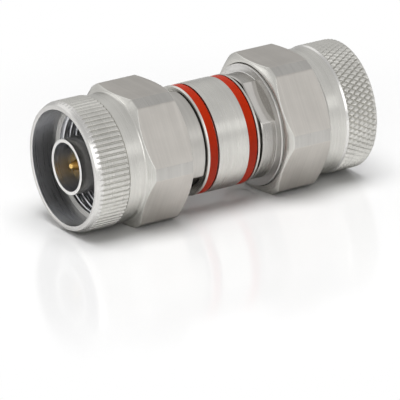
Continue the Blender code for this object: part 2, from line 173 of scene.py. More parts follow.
# Sleeve and red bands: radii, edges, and how far their ends lie from those of their solids
SLEEVE_BORE = 6.70
SLEEVE_GROOVE = 7.38
SLEEVE_CHAMFER = 0.18
SLEEVE_CHAMFER_END = 0.12
SLEEVE_REACH = 0.12
SLEEVE_RIGHT_TRIM = 0.06
BAND_GAPS = {"left": (0.09, 0.10), "right": (0.03, 0.10)}
BAND_START = {"left": 0.07, "right": 0.0}
BAND_TRIM = {"left": 0.13, "right": 0.05}
BAND_SEAT = 0.02

# Contacts: radii, lengths along the axis, and the small face that closes a stud's end
CONTACT_WALL = 0.51
CONTACT_BASE = 4.60
CONTACT_BASE_STANDS_OUT = 1.10
ROD = 1.52
PIN = 0.82
PIN_LENGTH = 5.00
PIN_BACK = 0.25
PIN_TAPER = 1.40
PIN_TIP = 0.42
PIN_DOME = 0.34
STUD = 0.75
STUD_LENGTH = 3.80
STUD_CAP = 0.05

# How faces are told apart: parts of a normal along the axis, an angle, and millimetres
ALONG_AXIS = 0.1
ACROSS_BORE = 0.88
MILLED_TILT = math.radians(1.0)
PICK_SLACK = 0.01
OUTSIDE_MOUTH = 0.5

# Difference of radii below which a quad counts as flat, in metres
FOLD_SLACK = 1e-7

# Metals of the pieces that have several, in the order of the material slots of their meshes; the paler and
# darker copies of one steel among them paint light and shade
NUT_METALS = ("nut_turned", "nut_milled", "nut_bore_painted_light", "nut_cone_painted_highlight", "nut_strip_painted_shade")
LEFT_SHELL_METALS = ("left_turned", "left_milled")
RIGHT_SHELL_METALS = ("right_turned", "right_milled", "right_flange_painted_light")
CONTACT_METALS = ("contact_wall", "contact_bore_painted_light", "contact_face_painted_light")

# Looks of the metals: line_depth is the height of the tool marks, in millimetres
METALS = {
    "nut_turned": {"colour": (0.63, 0.62, 0.585), "roughness": 0.30, "line_depth": 0.004},
    "nut_milled": {"colour": (0.55, 0.525, 0.49), "roughness": 0.34, "line_depth": 0.004, "milled": True},
    # Bore walls: a paler, bluish copy of the nut steel, painted light and a painted bluish reflection
    "nut_bore_painted_light": {"colour": (0.72, 0.725, 0.74), "roughness": 0.30, "line_depth": 0.0003, "tone": 0.06},
    # Rim and shoulder cones: a paler copy of the nut steel, a painted highlight
    "nut_cone_painted_highlight": {"colour": (0.67, 0.66, 0.64), "roughness": 0.26, "line_depth": 0.003},
    # Corner strips: a darker copy of the nut steel, painted shade of the floor they mirror
    "nut_strip_painted_shade": {"colour": (0.50, 0.488, 0.465), "roughness": 0.32, "line_depth": 0.003},
    "left_turned": {"colour": (0.53, 0.515, 0.485), "roughness": 0.36, "line_depth": 0.003},
    "left_milled": {"colour": (0.56, 0.54, 0.51), "roughness": 0.26, "line_depth": 0.001, "milled": True},
    "right_turned": {"colour": (0.43, 0.418, 0.396), "roughness": 0.26, "line_depth": 0.003},
    "right_milled": {"colour": (0.67, 0.65, 0.62), "roughness": 0.12, "line_depth": 0.0002, "milled": True},
    # Flange: a paler copy of the shell steel, painted light on a face in shade between nut and sleeve
    "right_flange_painted_light": {"colour": (0.70, 0.69, 0.67), "roughness": 0.38, "line_depth": 0.003},
    "contact_wall": {"colour": (0.42, 0.415, 0.41), "roughness": 0.22, "line_depth": 0.001},
    # Contact bore and front face: paler copies of the contact steel, painted light; the bore's blue is a
    # painted reflection
    "contact_bore_painted_light": {"colour": (0.84, 0.86, 0.90), "roughness": 0.30, "line_depth": 0.0005},
    "contact_face_painted_light": {"colour": (0.84, 0.83, 0.81), "roughness": 0.30, "line_depth": 0.001},
    "contact_gold": {"colour": (0.83, 0.56, 0.20), "roughness": 0.16, "line_depth": 0.002},
}

# All metals: mirror image left at a low angle, unevenness, and patterns to the metre
EDGE_TINT = 0.65
ANISOTROPY = 0.4
METAL_TONE = 0.12
ROUGHNESS_SPREAD = 0.2
TURNED_LINES = 9000.0
MILLED_LINES = 6000.0
LINE_DRIFT = 0.02
STREAK_SCALE = 2600.0
PATCH_SCALE = 260.0

# Paint, rubber and plastic: depth of the surface grain, in millimetres
GRAIN_DEPTH = 0.003

# Noise that gives the ends of a roughness or a colour, and of a metal's tone
NOISE_RANGE = (0.3, 0.7)
TONE_RANGE = (0.25, 0.75)

# Sockets of a mix node that blends colours
MIX_FIRST = 6
MIX_SECOND = 7
MIX_RESULT = 2


def reach_of(node):
    """Nearest and furthest distance of a node from the middle, along the axis, in millimetres."""
    low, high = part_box(node)
    return sorted((abs(low.x) / MM, abs(high.x) / MM))


def span_of(node):
    """Lowest and highest place of a node along the axis, in millimetres."""
    low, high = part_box(node)
    return low.x / MM, high.x / MM


def radius_of(node):
    """Outer radius of a turned node, in millimetres."""
    _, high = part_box(node)
    return high.z / MM


def loop(columns, u, radius):
    """Evenly spaced (angle, distance, radius) points of a turned edge."""
    return [(2 * math.pi * column / columns, u, radius) for column in range(columns)]


def turned_loops(places):
    """Turned edges with the usual number of columns, at (distance, radius) places."""
    return [loop(TURNED_COLUMNS, u, radius) for u, radius in places]


def bridge(bm, first, second):
    """Close the wall between two closed loops of (angle, vertex) pairs, whatever their counts."""
    turn = 2 * math.pi
    if [round(angle, 6) for angle, _ in first] == [round(angle, 6) for angle, _ in second]:
        for index in range(len(first)):
            following = (index + 1) % len(first)
            bm.faces.new((first[index][1], first[following][1],
                          second[following][1], second[index][1]))
        return
    ahead = [*first, (first[0][0] + turn, first[0][1])]
    behind = [*second, (second[0][0] + turn, second[0][1])]
    i = 0
    j = 0
    while i < len(first) or j < len(second):
        step_first = j == len(second) or (i < len(first) and ahead[i + 1][0] <= behind[j + 1][0])
        if step_first:
            bm.faces.new((ahead[i][1], ahead[i + 1][1], behind[j][1]))
            i += 1
        else:
            bm.faces.new((ahead[i][1], behind[j + 1][1], behind[j][1]))
            j += 1


def bridge_folded(bm, first, second):
    """Close the wall between two equal loops with each quad folded along its lower diagonal."""
    for index in range(len(first)):
        following = (index + 1) % len(first)
        quad = [first[index][1], first[following][1], second[following][1], second[index][1]]
        radii = [math.hypot(vert.co.y, vert.co.z) for vert in quad]
        if abs(radii[0] + radii[2] - radii[1] - radii[3]) < FOLD_SLACK:
            bm.faces.new(quad)
            continue
        fold = 0 if radii[0] + radii[2] < radii[1] + radii[3] else 1
        bm.faces.new((quad[fold], quad[fold + 1], quad[fold + 2]))
        bm.faces.new((quad[fold], quad[fold + 2], quad[(fold + 3) % 4]))


def skin(bm, loops, folded=(), open_ends=False):
    """Vertices of all the loops and walls from each to the next, round to the first unless open."""
    rings = []
    for points in loops:
        ring = []
        for angle, u, radius in points:
            place = (u * MM, radius * math.cos(angle) * MM, radius * math.sin(angle) * MM)
            ring.append((angle, bm.verts.new(place)))
        rings.append(ring)
    for index, ring in enumerate(rings):
        following = rings[(index + 1) % len(rings)]
        if open_ends and index + 1 == len(rings):
            break
        if index in folded:
            bridge_folded(bm, ring, following)
        else:
            bridge(bm, ring, following)
    return rings


def finished(name, bm, materials, body, replaced, turned_round=False):
    """Make the mesh an object that stands for its solid and rides on its body."""
    if turned_round:
        half_turn = Matrix.Rotation(math.pi, 3, "Z")
        bmesh.ops.rotate(bm, verts=bm.verts, cent=(0, 0, 0), matrix=half_turn)
    bmesh.ops.recalc_face_normals(bm, faces=bm.faces)
    mesh = bpy.data.meshes.new(name)
    bm.to_mesh(mesh)
    bm.free()
    mesh.shade_smooth()
    mesh.set_sharp_from_angle(angle=SHARP_ANGLE)
    for material in materials:
        mesh.materials.append(material)
    piece = bpy.data.objects.new(name, mesh)
    bpy.context.scene.collection.objects.link(piece)
    weighted = piece.modifiers.new("even_shading", "WEIGHTED_NORMAL")
    weighted.keep_sharp = True
    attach(piece, body)
    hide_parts(replaced)


def rounded(outline):
    """Outline of (u, radius, edge radius) points with each marked corner drawn as a small curve."""
    points = []
    count = len(outline)
    for index, (u, radius, edge) in enumerate(outline):
        corner = Vector((u, radius))
        if edge == 0:
            points.append(corner)
            continue
        before = Vector(outline[index - 1][:2]) - corner
        after = Vector(outline[(index + 1) % count][:2]) - corner
        run = min(edge, CORNER_SHARE * before.length, CORNER_SHARE * after.length)
        start = corner + before.normalized() * run
        stop = corner + after.normalized() * run
        for step in range(CORNER_STEPS + 1):
            t = step / CORNER_STEPS
            points.append(start * (1 - t) ** 2 + corner * 2 * t * (1 - t) + stop * t * t)
    return [(point.x, point.y) for point in points]


def turned(outline):
    """A solid of revolution from a rounded outline that stays clear of the axis."""
    bm = bmesh.new()
    skin(bm, turned_loops(rounded(outline)))
    return bm


def hexagon_angles():
    """Columns of the hexagon and their angles from their flat's middle, dense beside its edges."""
    half_flat = math.acos(HEX_FLAT / HEX_BAR)
    edge = HEX_EDGE / 2 / HEX_BAR
    half_sector = math.radians(30)
    inside = [half_flat * share for share in HEX_COLUMNS]
    outside = [half_flat - edge, half_flat + edge, (half_flat + half_sector) / 2]
    one_side = inside + outside
    sector = sorted({-angle for angle in one_side} | set(one_side) | {half_sector})
    columns = []
    for flat in range(6):
        middle = half_sector + flat * 2 * half_sector
        columns += [(middle + angle, angle) for angle in sector]
    return columns


def hexagon_loops(rear):
    """Loops of the hexagon between its two cone-shaped chamfers, in a nut that starts at rear."""
    columns = [(angle, min(HEX_BAR, HEX_FLAT / math.cos(turn))) for angle, turn in hexagon_angles()]
    slope = math.tan(HEX_CHAMFER)
    bar_start = rear + (HEX_BAR - HEX_LAND) * slope
    bar_end = rear + HEX_LENGTH
    collar_start = bar_end + (HEX_BAR - COLLAR) * slope
    edge = HEX_EDGE / 2

    def meeting_of(radius, foot, foot_radius, bar):
        """Where the cone meets a flat or strip of this radius."""
        return bar + (foot - bar) / (foot_radius - HEX_BAR) * (radius - HEX_BAR)

    def on_cone(share, foot, foot_radius, bar):
        """A loop part of the way from the cone's foot to where it meets the flats and strips."""
        points = []
        for angle, radius in columns:
            meeting = meeting_of(radius, foot, foot_radius, bar)
            run = Vector((meeting - foot, radius - foot_radius))
            place = Vector((foot, foot_radius)) + run * share
            if share == 1:
                place -= run.normalized() * edge
            points.append((angle, place.x, place.y))
        return points

    def past_cone(foot, foot_radius, bar, way):
        """The loop just past that meeting, on the flats and strips."""
        points = []
        for angle, radius in columns:
            meeting = meeting_of(radius, foot, foot_radius, bar)
            points.append((angle, meeting + way * edge, radius))
        return points

    start = (rear, HEX_LAND, bar_start)
    end = (collar_start, COLLAR, bar_end)
    loops = [on_cone(share, *start) for share in (0.0, 0.5, 1.0)]
    loops += [past_cone(*start, 1), past_cone(*end, -1)]
    loops += [on_cone(1.0, *end)]
    corner = Vector((collar_start, COLLAR))
    up_cone = (Vector((bar_end, HEX_BAR)) - corner).normalized() * COLLAR_FILLET
    along_collar = Vector((COLLAR_FILLET, 0))
    for step in range(FILLET_STEPS + 1):
        t = step / FILLET_STEPS
        place = corner + up_cone * (1 - t) ** 2 + along_collar * t * t
        loops.append([(angle, place.x, place.y) for angle, _ in columns])
    return loops, collar_start


def rim_envelope(side, u, front):
    """Radius that the rim allows at this distance: a cone that rounds over into the front face."""
    run = RIM_RUN[side]
    share = (u - (front - run)) / run
    if share <= 0:
        return CREST
    rounding = RIM_ROUND[side] * (1 - math.sqrt(max(0.0, 1 - share ** 2)))
    return CREST - RIM_CONE[side] * share - rounding


def rim_distances(side, front):
    """Distances along the rim, closer together towards the front face."""
    run = RIM_RUN[side]
    turns = [math.radians(90) * step / RIM_STEPS for step in range(1, RIM_STEPS + 1)]
    return [front - run + run * math.sin(turn) for turn in turns]


def straight_rib_points():
    """(share of the pitch, depth) across one rib, from the middle of a valley to the next."""
    valley = [(0.0, 1.0), (0.06, 0.96), (0.14, 0.55), (0.20, 0.20), (0.25, 0.05)]
    crest = [(0.31, 0.0), (0.40, 0.0)]
    half = valley + crest
    return half + [(1 - share, depth) for share, depth in reversed(half[1:])]


def straight_barrel(start, front):
    """Loops of the straight knurl from the groove at the collar's end to the rim."""
    columns = []
    for rib in range(STRAIGHT_RIBS):
        for share, depth in straight_rib_points():
            angle = 2 * math.pi * (rib + share) / STRAIGHT_RIBS
            columns.append((angle, CREST - depth * STRAIGHT_DEPTH))
    crest_start = start + STRAIGHT_RUN_IN
    rim_start = front - RIM_RUN["left"]
    distances = [start, crest_start, start + 3 * STRAIGHT_RUN_IN, (start + front) / 2, rim_start]
    ceilings = {start: COLLAR - UNDERCUT, crest_start: CREST - CREST_START_DROP}
    loops = []
    for u in distances + rim_distances("left", front):
        ceiling = ceilings.get(u, rim_envelope("left", u, front))
        loops.append([(angle, u, min(radius, ceiling)) for angle, radius in columns])
    return loops, set()


def crossed_depth(angle, u):
    """Depth of the crossed grooves at this place, from 0 on the rounded tops to the full depth."""
    pitch = 2 * math.pi * CREST / CROSSED_RIBS * math.cos(CROSSED_ANGLE)
    lead = math.tan(CROSSED_ANGLE) / (2 * math.pi * CREST / CROSSED_RIBS)
    around = CROSSED_RIBS * angle / (2 * math.pi)
    phases = (around - u * lead, around + u * lead)
    nearest = min(abs(phase - round(phase)) for phase in phases)
    return CROSSED_DEPTH * max(0.0, 1 - nearest * pitch / CROSSED_FLANK) ** CROSSED_CURVE


def crossed_barrel(start, front):
    """Loops of the crossed knurl from the shoulder chamfer to the rim."""
    pitch = 2 * math.pi * CREST / CROSSED_RIBS
    columns = CROSSED_RIBS * CELL_STEPS
    row = pitch / math.tan(CROSSED_ANGLE) / CELL_STEPS
    crest_start = start + CROSSED_SHOULDER
    rows = int((front - RIM_RUN["right"] - crest_start) / row)
    distances = [crest_start + row * step for step in range(rows + 1)]
    distances += rim_distances("right", front)
    shoulder_top = CREST - CREST_START_DROP
    loops = [
        loop(columns, start, COLLAR),
        loop(columns, start + EDGE, COLLAR + EDGE / 2),
        loop(columns, crest_start - 2 * EDGE, shoulder_top - EDGE),
        loop(columns, crest_start - EDGE / 2, shoulder_top),
    ]
    plain = len(loops) - 1
    for u in distances:
        ceiling = rim_envelope("right", u, front)
        points = []
        for column in range(columns):
            angle = 2 * math.pi * column / columns
            points.append((angle, u, min(CREST - crossed_depth(angle, u - crest_start), ceiling)))
        loops.append(points)
    return loops, set(range(plain, len(loops) - 1))


def thread_loops(start, stop):
    """Loops of the internal thread, from its opened front end back to the relief groove."""
    height = THREAD_MAJOR - THREAD_MINOR
    flank = height * math.tan(THREAD_FLANK) / THREAD_PITCH
    rows = int((stop - start) / THREAD_PITCH * THREAD_ROWS)
    loops = []
    for row in range(rows + 1):
        u = stop + (start - stop) * row / rows
        lead_in = THREAD_MINOR + THREAD_LEAD_IN - (stop - u)
        points = []
        for column in range(THREAD_COLUMNS):
            turn = column / THREAD_COLUMNS
            phase = (u / THREAD_PITCH - turn) % 1.0
            from_root = abs(phase - 0.5)
            share = min(1.0, max(0.0, (from_root - THREAD_HALF_ROOT) / flank))
            radius = THREAD_MAJOR + (THREAD_MINOR - THREAD_MAJOR) * share
            points.append((2 * math.pi * turn, u, max(radius, lead_in)))
        loops.append(points)
    return loops


def journal_radius(side):
    """Radius of the shell that a nut turns on."""
    return LEFT_SHELL if side == "left" else FLANGE


def rear_bore_loops(side, rear):
    """Loops inside a nut's rear, from its thread's relief over the lip to the rear face."""
    journal = journal_radius(side) + SEAT_GAP
    lip_rear = rear + REAR_BORE_DEPTH
    lip_front = lip_rear + LIP_THICKNESS
    return turned_loops([
        (lip_front, RELIEF),
        (lip_front, LIP),
        (lip_rear, LIP),
        (lip_rear, journal),
        (rear + EDGE, journal),
        (rear, journal + EDGE),
    ])


def mouth_loops(rear, front):
    """Loops inside a nut's mouth, from its front edge over the thread to the relief."""
    lip_front = rear + REAR_BORE_DEPTH + LIP_THICKNESS
    thread_start = lip_front + RELIEF_LENGTH
    mouth_floor = front - MOUTH_DEPTH
    step_start = mouth_floor - SHOULDER_CONE
    loops = turned_loops([
        (front, MOUTH + MOUTH_EDGE),
        (front - MOUTH_EDGE_MIDDLE, MOUTH + MOUTH_EDGE_MIDDLE),
        (front - MOUTH_EDGE, MOUTH),
        (mouth_floor, MOUTH),
        (step_start, THREAD_MINOR + THREAD_LEAD_IN),
    ])
    loops += thread_loops(thread_start, step_start - THREAD_STEP)
    loops += turned_loops([(thread_start, RELIEF)])
    return loops


def collar_loops(side, collar_start, collar_end):
    """Loops of the collar's middle and, on the left nut, of the groove that its knurl starts in."""
    places = [((collar_start + collar_end) / 2, COLLAR)]
    if side == "left":
        places += [
            (collar_end - UNDERCUT, COLLAR),
            (collar_end - UNDERCUT_FLOOR_SHARE * UNDERCUT, COLLAR - UNDERCUT),
        ]
    return turned_loops(places)


def coupling_nut(side, metals):
    """One coupling nut with its fine edges, knurl and thread, in place of its plain solid."""
    node = f"{side}_coupling_nut"
    rear, front = reach_of(node)
    hexagon, collar_start = hexagon_loops(rear)
    collar_end = collar_start + COLLAR_LENGTH[side]
    knurl = straight_barrel if side == "left" else crossed_barrel
    barrel, folded = knurl(collar_end, front)
    loops = rear_bore_loops(side, rear)
    loops += hexagon
    loops += collar_loops(side, collar_start, collar_end)
    offset = len(loops)
    loops += barrel
    loops += mouth_loops(rear, front)
    bm = bmesh.new()
    skin(bm, loops, {offset + index for index in folded})
    pick_nut_faces(bm, side, rear, front, collar_end)
    finished(f"{side}_nut", bm, [metals[name] for name in NUT_METALS], f"{side}_nut",
             node, side == "left")


def pick_nut_faces(bm, side, rear, front, collar_end):
    """Give a nut's flats their milled metal, and its bore, rim or shoulder and corner strips paler or
    darker copies of its steel: painted bluish light in the bore, a painted highlight on the rim or
    shoulder, painted shade on the strips.
    """
    # cone is the slot of the paler copy that paints a highlight on the rim or shoulder
    cone = NUT_METALS.index("nut_cone_painted_highlight")
    bar_start = rear + (HEX_BAR - HEX_LAND) * math.tan(HEX_CHAMFER)
    bar_end = rear + HEX_LENGTH
    pick_milled_faces(bm, HEX_FLAT, HEX_FLAT, NUT_METALS.index("nut_milled"))
    # The walls in the mouth get the paler, bluish copy: painted light and painted reflection
    pick_bore_faces(bm, bar_end, front, MOUTH + MOUTH_EDGE / 2, NUT_METALS.index("nut_bore_painted_light"))
    if side == "left":
        pick_outer_faces(bm, front - RIM_RUN[side], front + EDGE, MOUTH, cone)
    else:
        shoulder_end = collar_end + CROSSED_SHOULDER - EDGE
        pick_outer_faces(bm, collar_end, shoulder_end, MOUTH + OUTSIDE_MOUTH, cone)
    # The corner strips get the darker copy: painted shade
    pick_outer_faces(bm, bar_start, bar_end, HEX_BAR - PICK_SLACK, NUT_METALS.index("nut_strip_painted_shade"))


def pick_milled_faces(bm, least_radius, flat_distance, material):
    """Give the flat faces along the axis another material, also those square to their radius."""
    bm.normal_update()
    for face in bm.faces:
        centre = face.calc_center_median()
        radial = Vector((0, centre.y, centre.z))
        if abs(face.normal.x) > ALONG_AXIS or radial.length < least_radius * MM:
            continue
        tilted = abs(face.normal.dot(radial.normalized())) < math.cos(MILLED_TILT)
        in_middle = abs(radial.length / MM - flat_distance) < PICK_SLACK
        if tilted or in_middle:
            face.material_index = material


def pick_bore_faces(bm, start, stop, radius, material):
    """Give the walls inside a bore another material, but not the shoulders across it."""
    bm.normal_update()
    for face in bm.faces:
        centre = face.calc_center_median()
        inside = start * MM < centre.x < stop * MM and math.hypot(centre.y, centre.z) < radius * MM
        if inside and abs(face.normal.x) < ACROSS_BORE:
            face.material_index = material


def pick_outer_faces(bm, start, stop, radius, material):
    """Give outer faces that weren't picked yet another material, between two distances on the axis."""
    for face in bm.faces:
        centre = face.calc_center_median()
        outside = start * MM < centre.x < stop * MM and math.hypot(centre.y, centre.z) > radius * MM
        if outside and face.material_index == 0:
            face.material_index = material


def milled_angles(flats, distance, bar):
    """Columns all round, with a pair beside each edge of each flat."""
    half = math.acos(distance / bar)
    edge = EDGE / 2 / bar
    special = []
    for flat in flats:
        for turn in (-half - edge, -half + edge, half - edge, half + edge):
            special.append((math.radians(flat) + turn) % (2 * math.pi))
    spacing = 2 * math.pi / TURNED_COLUMNS
    even = [spacing * column for column in range(TURNED_COLUMNS)]
    near = COLUMN_CLEARANCE * spacing
    even = [angle for angle in even if min(abs(angle - other) for other in special) > near]
    return sorted(even + special)


def shell_loops(outline, flats, distance, bar, start, stop):
    """Loops of a turned shell whose flats are milled from start to stop along the axis."""
    angles = milled_angles(flats, distance, bar)
    loops = []
    for u, radius in rounded(outline):
        points = []
        for angle in angles:
            limit = math.inf
            if start - FLAT_END < u < stop:
                for flat in flats:
                    turn = math.cos(angle - math.radians(flat))
                    if turn > 0:
                        limit = min(limit, distance / turn)
                limit -= max(0.0, EDGE - (u - start))
            points.append((angle, u, min(radius, limit)))
        loops.append(points)
    return loops


def hub_outline(rear):
    """Outline of the part of a shell that the nut hides, from the journal to the line bore."""
    lip_rear = rear + REAR_BORE_DEPTH
    ring_rear = lip_rear + LIP_THICKNESS + SEAT_GAP
    ring_front = ring_rear + RING_THICKNESS
    hub_front = ring_front + SEAT_GAP + HUB_LAND
    return [
        (lip_rear - SEAT_GAP, HUB, 0),
        (ring_rear - SEAT_GAP, HUB, 0),
        (ring_rear - SEAT_GAP, RING_GROOVE, 0),
        (ring_front + SEAT_GAP, RING_GROOVE, 0),
        (ring_front + SEAT_GAP, HUB, 0),
        (hub_front, HUB, EDGE),
        (hub_front, SOCKET, EDGE),
        (hub_front - SOCKET_DEPTH, SOCKET, 0),
        (hub_front - SOCKET_DEPTH, LINE_BORE, 0),
    ]


def left_shell(metals):
    """Left body shell with its two wrench flats and the spigot under the sleeve."""
    rear = reach_of("left_coupling_nut")[0]
    rim = -span_of("banded_sleeve")[0] + SEAT_GAP
    journal_end = rear + REAR_BORE_DEPTH - SEAT_GAP
    flats_end = rear + LEFT_FLATS_PASS_NUT
    outline = [
        (-SPIGOT_REACH, LINE_BORE, 0),
        (-SPIGOT_REACH, SPIGOT, EDGE),
        (rim, SPIGOT, 0),
        (rim, LEFT_SHELL - LEFT_RIM_CHAMFER, 0),
        (rim + LEFT_RIM_CHAMFER, LEFT_SHELL, 0),
        (flats_end - FLAT_END, LEFT_SHELL, 0),
        (flats_end + FLAT_END, LEFT_SHELL, 0),
        (journal_end, LEFT_SHELL, EDGE),
    ] + hub_outline(rear)
    loops = shell_loops(outline, LEFT_FLAT_ANGLES, LEFT_FLAT_DISTANCE, LEFT_SHELL, rim, flats_end)
    bm = bmesh.new()
    skin(bm, loops)
    pick_milled_faces(bm, 0, LEFT_FLAT_DISTANCE, LEFT_SHELL_METALS.index("left_milled"))
    finished("left_shell", bm, [metals[name] for name in LEFT_SHELL_METALS], "adapter_body",
             "left_body_shell", True)


def right_shell(metals):
    """Right body shell with its two wrench flats, the flange and the neck under the sleeve."""
    rear = reach_of("right_coupling_nut")[0]
    rim = RIGHT_RIM_FACE
    sleeve_left = span_of("banded_sleeve")[0]
    journal_end = rear + REAR_BORE_DEPTH - SEAT_GAP
    face = rear - FLANGE_PROUD
    outline = [
        (SPIGOT_REACH + SEAT_GAP, LINE_BORE, 0),
        (SPIGOT_REACH + SEAT_GAP, NECK_BORE, 0),
        (sleeve_left, NECK_BORE, EDGE),
        (sleeve_left, NECK, EDGE),
        (rim, NECK, 0),
        (rim, RIGHT_SHELL - RIGHT_RIM_CHAMFER, FINE_EDGE),
        (rim + RIGHT_RIM_SLOPE, RIGHT_SHELL, FINE_EDGE),
        (face - FLANGE_FILLET - FLAT_END, RIGHT_SHELL, 0),
        (face, RIGHT_SHELL, FLANGE_FILLET),
        (face, FLANGE_RIM, FLANGE_EDGE),
        (journal_end, FLANGE_RIM, EDGE),
    ] + hub_outline(rear)
    flats_end = face - FLAT_END / 2
    loops = shell_loops(outline, RIGHT_FLAT_ANGLES, RIGHT_FLAT_DISTANCE, RIGHT_SHELL, rim, flats_end)
    bm = bmesh.new()
    skin(bm, loops)
    pick_milled_faces(bm, 0, RIGHT_FLAT_DISTANCE, RIGHT_SHELL_METALS.index("right_milled"))
    # The flange gets the paler copy of the shell steel: painted light
    pick_outer_faces(bm, face - FLANGE_FILLET, journal_end, RIGHT_SHELL + EDGE,
                     RIGHT_SHELL_METALS.index("right_flange_painted_light"))
    finished("right_shell", bm, [metals[name] for name in RIGHT_SHELL_METALS], "adapter_body",
             "right_body_shell")


def sleeve(metal):
    """Sleeve with a groove near each end for a red band."""
    low, high = span_of("banded_sleeve")
    outer = radius_of("banded_sleeve")
    outline = [
        (low - SLEEVE_REACH, SLEEVE_BORE, EDGE),
        (low - SLEEVE_REACH, outer - SLEEVE_CHAMFER, FINE_EDGE),
        (low + SLEEVE_CHAMFER_END, outer, FINE_EDGE),
    ]
    for side in SIDES:
        left, right = span_of(f"{side}_red_band")
        left_gap, right_gap = BAND_GAPS[side]
        outline += [
            (left - left_gap, outer, FINE_EDGE),
            (left - left_gap, SLEEVE_GROOVE, 0),
            (right + right_gap, SLEEVE_GROOVE, 0),
            (right + right_gap, outer, FINE_EDGE),
        ]
    high -= SLEEVE_RIGHT_TRIM
    outline += [(high, outer, EDGE), (high, SLEEVE_BORE, EDGE)]
    finished("sleeve", turned(outline), [metal], "adapter_body", "banded_sleeve")


def red_bands(enamel):
    """The two red bands in the sleeve's grooves."""
    for side in SIDES:
        node = f"{side}_red_band"
        low, high = span_of(node)
        outer = radius_of(node)
        inner = SLEEVE_GROOVE + BAND_SEAT
        low -= BAND_START[side]
        high -= BAND_TRIM[side]
        outline = [
            (low, inner, 0),
            (low, outer, BAND_EDGE),
            (high, outer, BAND_EDGE),
            (high, inner, 0),
        ]
        finished(f"{side}_band", turned(outline), [enamel], "adapter_body", node)


def hub_front_of(side):
    """Where the hub of a shell ends, behind the gasket."""
    return reach_of(f"{side}_gasket")[0] - SEAT_GAP


def outer_contacts(metals):
    """Thin sleeves in the mouths, with their thicker screwed bases, and a bore and front face in paler
    copies of their steel: painted light, and in the bore a painted bluish reflection.
    """
    for side in SIDES:
        node = f"{side}_outer_contact"
        rear, front = reach_of(node)
        base_front = hub_front_of(side) + CONTACT_BASE_STANDS_OUT
        wall = LINE_BORE + CONTACT_WALL
        outline = [
            (rear, LINE_BORE, 0),
            (rear, CONTACT_BASE, EDGE),
            (base_front, CONTACT_BASE, EDGE),
            (base_front, wall, 0),
            (front, wall, CONTACT_EDGE),
            (front, LINE_BORE, CONTACT_EDGE),
        ]
        bm = turned(outline)
        # The bore and front face get the paler copies: painted light, and a painted bluish reflection in
        # the bore
        bore = CONTACT_METALS.index("contact_bore_painted_light")
        front_face = CONTACT_METALS.index("contact_face_painted_light")
        pick_bore_faces(bm, rear, front, LINE_BORE + PICK_SLACK, bore)
        pick_outer_faces(bm, front - EDGE, front + PICK_SLACK, LINE_BORE, front_face)
        finished(f"{side}_outer_line", bm, [metals[name] for name in CONTACT_METALS], "adapter_body",
                 node, side == "left")


def gaskets(rubber):
    """Soft rings on the hubs, round the bases of the outer contacts."""
    for side in SIDES:
        node = f"{side}_gasket"
        rear, front = reach_of(node)
        outer = radius_of(node)
        outline = [
            (rear, SOCKET, GASKET_EDGE),
            (rear, outer, GASKET_EDGE),
            (front, outer, GASKET_EDGE),
            (front, SOCKET, GASKET_EDGE),
        ]
        finished(f"{side}_seal", turned(outline), [rubber], "adapter_body",
                 node, side == "left")


def centre_contacts(gold):
    """Gold pins with a shoulder as wide as the rod and a stud towards the middle."""
    for side in SIDES:
        node = f"{side}_centre_contact"
        stud_rear, tip = reach_of(node)
        shoulder_front = tip - PIN_LENGTH
        tip -= PIN_BACK
        shoulder_rear = stud_rear + STUD_LENGTH
        profile = rounded([
            (stud_rear, STUD_CAP, 0),
            (stud_rear, STUD, EDGE),
            (shoulder_rear, STUD, 0),
            (shoulder_rear, ROD, EDGE),
            (shoulder_front, ROD, ROD_EDGE),
            (shoulder_front, PIN, 0),
        ])
        profile.append((tip - PIN_TAPER, PIN))
        for step in range(PIN_DOME_STEPS):
            turn = math.radians(90) * step / PIN_DOME_STEPS
            profile.append((tip - PIN_DOME * (1 - math.sin(turn)), PIN_TIP * math.cos(turn)))
        bm = bmesh.new()
        loops = [loop(PIN_COLUMNS, u, radius) for u, radius in profile]
        rings = skin(bm, loops, open_ends=True)
        for ring in (rings[0], rings[-1]):
            bm.faces.new([vert for _, vert in ring])
        finished(f"{side}_pin", bm, [gold], "adapter_body", node, side == "left")


def support_beads(dielectric):
    """Discs that hold the pins in the middle of the bore."""
    for side in SIDES:
        node = f"{side}_support_bead"
        rear, front = reach_of(node)
        outer = radius_of(node)
        inner = STUD + SEAT_GAP
        outline = [
            (rear, inner, EDGE),
            (rear, outer, EDGE),
            (front, outer, EDGE),
            (front, inner, EDGE),
        ]
        finished(f"{side}_bead", turned(outline), [dielectric], "adapter_body",
                 node, side == "left")


def dress_hidden(ring_metal, rod_metal):
    """Finish the two snap rings and the rod, whose solids stay as they are."""
    hidden = {
        "left_snap_ring": ring_metal,
        "right_snap_ring": ring_metal,
        "centre_conductor": rod_metal,
    }
    for name, metal in hidden.items():
        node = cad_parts[name]
        node.data.materials.clear()
        node.data.materials.append(metal)


def new_material(name):
    """A material with its nodes, its links and its main shader."""
    mat = bpy.data.materials.new(name)
    mat.use_nodes = True
    nodes = mat.node_tree.nodes
    return mat, nodes, mat.node_tree.links, nodes["Principled BSDF"]


def node_math(nodes, links, operation, first, second=None):
    """A math node whose inputs are sockets or plain numbers."""
    node = nodes.new("ShaderNodeMath")
    node.operation = operation
    for index, value in enumerate((first, second)):
        if isinstance(value, (int, float)):
            node.inputs[index].default_value = value
        elif value is not None:
            links.new(value, node.inputs[index])
    return node.outputs[0]


def sum_of_squares(nodes, links, first, second):
    """The squares of two sockets, added up."""
    squares = [node_math(nodes, links, "MULTIPLY", socket, socket) for socket in (first, second)]
    return node_math(nodes, links, "ADD", *squares)


